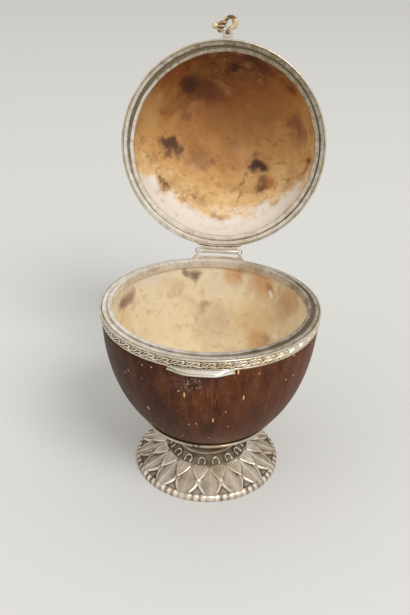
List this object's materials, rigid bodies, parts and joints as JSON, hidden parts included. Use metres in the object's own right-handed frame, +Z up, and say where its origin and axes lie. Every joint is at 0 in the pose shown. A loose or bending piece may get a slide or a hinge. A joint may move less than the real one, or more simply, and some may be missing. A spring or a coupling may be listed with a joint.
{
  "type": "lidded coconut box",
  "caption": "Footed round box: coconut-shell bowl and hinged domed lid with silvered rim mounts, a leaf-pattern foot, a catch plate and a hasp.",
  "frame": {"origin": "on the table, under the middle of the bounding box of the open box; the bowl's own axis stands 27.0 mm in front of it", "axes": "+Z up, +Y to the rear, where the hinge is, -Y to the front, where the catch plate is, +X to the right seen from the front"},
  "size_m": [0.1086, 0.1684, 0.2187],
  "materials": {
    "coconut_shell": "polished dark coconut shell outside, pale and stained inside",
    "silvered_metal": "tarnished silver plate, warm in the worn places",
    "leaf_band_metal": "stamped leaf strip, darkened in its hollows",
    "fixing_metal": "dull turned metal"
  },
  "bodies": {
    "base": {"foot_rim": "silvered_metal", "foot_dish": "silvered_metal", "foot_cup": "silvered_metal", "cup_wire": "silvered_metal", "bowl_shell": "coconut_shell", "fixing_washer": "fixing_metal", "fixing_screw": "fixing_metal", "fixing_nut": "fixing_metal", "bowl_rim_ring": "silvered_metal", "bowl_upper_wire": "silvered_metal", "bowl_leaf_band": "leaf_band_metal", "bowl_lower_wire": "silvered_metal", "catch_plate": "silvered_metal", "hinge_bracket": "silvered_metal", "hinge_pin": "silvered_metal"},
    "lid": {"lid_shell": "coconut_shell", "lid_rim_ring": "silvered_metal", "lid_lower_wire": "silvered_metal", "lid_band": "silvered_metal", "lid_upper_wire": "silvered_metal", "hinge_leaf": "silvered_metal", "hasp_staple": "silvered_metal", "hasp_pin": "silvered_metal"},
    "hasp": {"hasp": "silvered_metal"}
  },
  "joints": [
    {"name": "lid_hinge", "type": "hinge", "parent": "base", "child": "lid", "pos_m": [0, 0.03014, 0.0965], "axis": [1, 0, 0], "range_deg": [0, 100]},
    {"name": "hasp_hinge", "type": "hinge", "parent": "lid", "child": "hasp", "pos_m": [0, 0.05084, 0.20901], "axis": [1, 0, 0], "range_deg": [-80, 75]}
  ]
}
